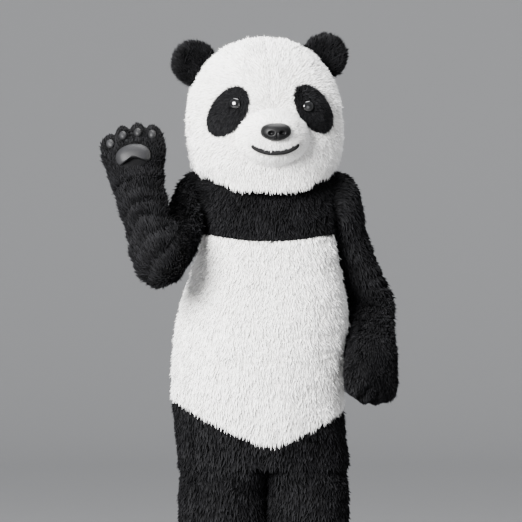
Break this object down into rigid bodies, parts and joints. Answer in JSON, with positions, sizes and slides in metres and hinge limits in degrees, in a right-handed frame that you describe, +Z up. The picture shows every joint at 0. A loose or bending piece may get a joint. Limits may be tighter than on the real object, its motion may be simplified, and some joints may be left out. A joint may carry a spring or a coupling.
{
  "type": "plush panda mascot costume",
  "caption": "Adult-size plush panda costume standing with one arm raised: fur suit with zip and tail, separate fur head, padded mitts and overshoes.",
  "frame": {"origin": "centre of the footprint of the costume's box, at floor level under the soles", "axes": "+Z up; the panda's face and belly look along -Y; +X is the panda's left, the side of the hanging arm"},
  "size_m": [0.7394, 0.5206, 1.7758],
  "materials": {
    "white_fur": "long-pile faux fur",
    "black_fur": "long-pile faux fur",
    "black_pad": "padded coated vinyl, satin gloss",
    "nose_plastic": "moulded plastic, satin",
    "lens": "polished dome",
    "foam": "open-cell foam sheet",
    "helmet_shell": "moulded shell",
    "webbing": "woven",
    "zip_coil": "woven tape with nylon coil",
    "zip_metal": "plated",
    "sole_rubber": "moulded"
  },
  "bodies": {
    "torso": {"chest_yoke": "black_fur", "belly_panel": "white_fur", "back_yoke_left": "black_fur", "back_yoke_right": "black_fur", "back_panel_left": "white_fur", "back_panel_right": "white_fur", "hip_panel_left": "black_fur", "hip_panel_right": "black_fur", "belly_pad": "foam", "zip_tape": "zip_coil", "tail": "black_fur", "shoulder_gusset_left": "black_fur", "shoulder_gusset_right": "black_fur", "hip_gusset_left": "black_fur", "hip_gusset_right": "black_fur"},
    "zip_slider": {"zip_slider": "zip_metal"},
    "zip_pull": {"zip_pull": "zip_metal"},
    "hem": {"head_bib": "white_fur"},
    "neck": {"neck_gaiter": "webbing"},
    "head": {"head_shell": "foam", "head_cover": "white_fur", "muzzle": "white_fur", "nose": "nose_plastic", "mouth_strip": "black_pad", "ear_left": "black_fur", "ear_right": "black_fur", "eye_patch_left": "black_fur", "eye_patch_right": "black_fur", "eye_left": "lens", "eye_right": "lens", "helmet": "helmet_shell", "chin_strap": "webbing"},
    "upper_arm_left": {"upper_sleeve_left": "black_fur", "elbow_gusset_left": "black_fur"},
    "forearm_left": {"lower_sleeve_left": "black_fur"},
    "mitt_left": {"mitt_left": "black_fur", "palm_pad_left": "black_pad", "toe_pad_left_1": "black_pad", "toe_pad_left_2": "black_pad", "toe_pad_left_3": "black_pad", "toe_pad_left_4": "black_pad"},
    "thigh_left": {"thigh_left": "black_fur", "knee_gusset_left": "black_fur"},
    "shin_left": {"shin_left": "black_fur"},
    "foot_left": {"boot_left": "black_fur", "sole_left": "sole_rubber"},
    "upper_arm_right": {"upper_sleeve_right": "black_fur", "elbow_gusset_right": "black_fur"},
    "forearm_right": {"lower_sleeve_right": "black_fur"},
    "mitt_right": {"mitt_right": "black_fur", "palm_pad_right": "black_pad", "toe_pad_right_1": "black_pad", "toe_pad_right_2": "black_pad", "toe_pad_right_3": "black_pad", "toe_pad_right_4": "black_pad"},
    "thigh_right": {"thigh_right": "black_fur", "knee_gusset_right": "black_fur"},
    "shin_right": {"shin_right": "black_fur"},
    "foot_right": {"boot_right": "black_fur", "sole_right": "sole_rubber"}
  },
  "joints": [
    {"name": "head_lift", "type": "slide", "parent": "torso", "child": "neck", "axis": [0, 0, 1], "range_m": [0, 0.45]},
    {"name": "head_turn", "type": "hinge", "parent": "neck", "child": "hem", "pos_m": [0.03608, 0.01636, 1.44], "axis": [0, 0, 1], "range_deg": [-55, 55], "deforming": ["head_bib"]},
    {"name": "head_nod", "type": "hinge", "parent": "hem", "child": "head", "pos_m": [0.03608, 0.01636, 1.44], "axis": [1, 0, 0], "range_deg": [-10, 12], "deforming": ["head_bib"]},
    {"name": "zip_slide", "type": "slide", "parent": "torso", "child": "zip_slider", "axis": [-0.0697, 0.0597, -0.9958], "range_m": [0, 0.44]},
    {"name": "zip_pull_swing", "type": "hinge", "parent": "zip_slider", "child": "zip_pull", "pos_m": [0.04883, 0.16566, 1.338], "axis": [1, 0, 0], "range_deg": [0, 130]},
    {"name": "shoulder_right", "type": "hinge", "parent": "torso", "child": "upper_arm_right", "pos_m": [-0.13392, 0.01636, 1.335], "axis": [1, 0, 0], "range_deg": [-50, 35], "deforming": ["shoulder_gusset_right"]},
    {"name": "elbow_right", "type": "hinge", "parent": "upper_arm_right", "child": "forearm_right", "pos_m": [-0.23692, -0.18964, 1.226], "axis": [-0.6948, 0.5756, -0.4312], "range_deg": [-115, 4], "deforming": ["elbow_gusset_right"]},
    {"name": "mitt_turn_right", "type": "hinge", "parent": "forearm_right", "child": "mitt_right", "pos_m": [-0.28142, -0.10364, 1.4125], "axis": [-0.2118, 0.4092, 0.8875], "range_deg": [-35, 35]},
    {"name": "hip_right", "type": "hinge", "parent": "torso", "child": "thigh_right", "pos_m": [-0.07692, 0.01636, 0.72], "axis": [1, 0, 0], "range_deg": [-25, 12], "deforming": ["hip_gusset_right"]},
    {"name": "knee_right", "type": "hinge", "parent": "thigh_right", "child": "shin_right", "pos_m": [-0.07692, 0.02036, 0.4], "axis": [1, 0, 0], "range_deg": [0, 55], "deforming": ["knee_gusset_right"]},
    {"name": "ankle_right", "type": "hinge", "parent": "shin_right", "child": "foot_right", "pos_m": [-0.07692, 0.02236, 0.13], "axis": [1, 0, 0], "range_deg": [-6, 8]},
    {"name": "shoulder_left", "type": "hinge", "parent": "torso", "child": "upper_arm_left", "pos_m": [0.22208, 0.02636, 1.335], "axis": [1, 0, 0], "range_deg": [-75, 20], "deforming": ["shoulder_gusset_left"]},
    {"name": "elbow_left", "type": "hinge", "parent": "upper_arm_left", "child": "forearm_left", "pos_m": [0.30608, 0.06836, 1.108], "axis": [-1, 0, 0], "range_deg": [-48, 75], "deforming": ["elbow_gusset_left"]},
    {"name": "mitt_turn_left", "type": "hinge", "parent": "forearm_left", "child": "mitt_left", "pos_m": [0.30708, -0.06164, 0.974], "axis": [0.0054, -0.6963, -0.7177], "range_deg": [-35, 35]},
    {"name": "hip_left", "type": "hinge", "parent": "torso", "child": "thigh_left", "pos_m": [0.14408, 0.01636, 0.72], "axis": [1, 0, 0], "range_deg": [-25, 12], "deforming": ["hip_gusset_left"]},
    {"name": "knee_left", "type": "hinge", "parent": "thigh_left", "child": "shin_left", "pos_m": [0.14408, 0.02036, 0.4], "axis": [1, 0, 0], "range_deg": [0, 55], "deforming": ["knee_gusset_left"]},
    {"name": "ankle_left", "type": "hinge", "parent": "shin_left", "child": "foot_left", "pos_m": [0.14408, 0.02236, 0.13], "axis": [1, 0, 0], "range_deg": [-6, 8]}
  ]
}
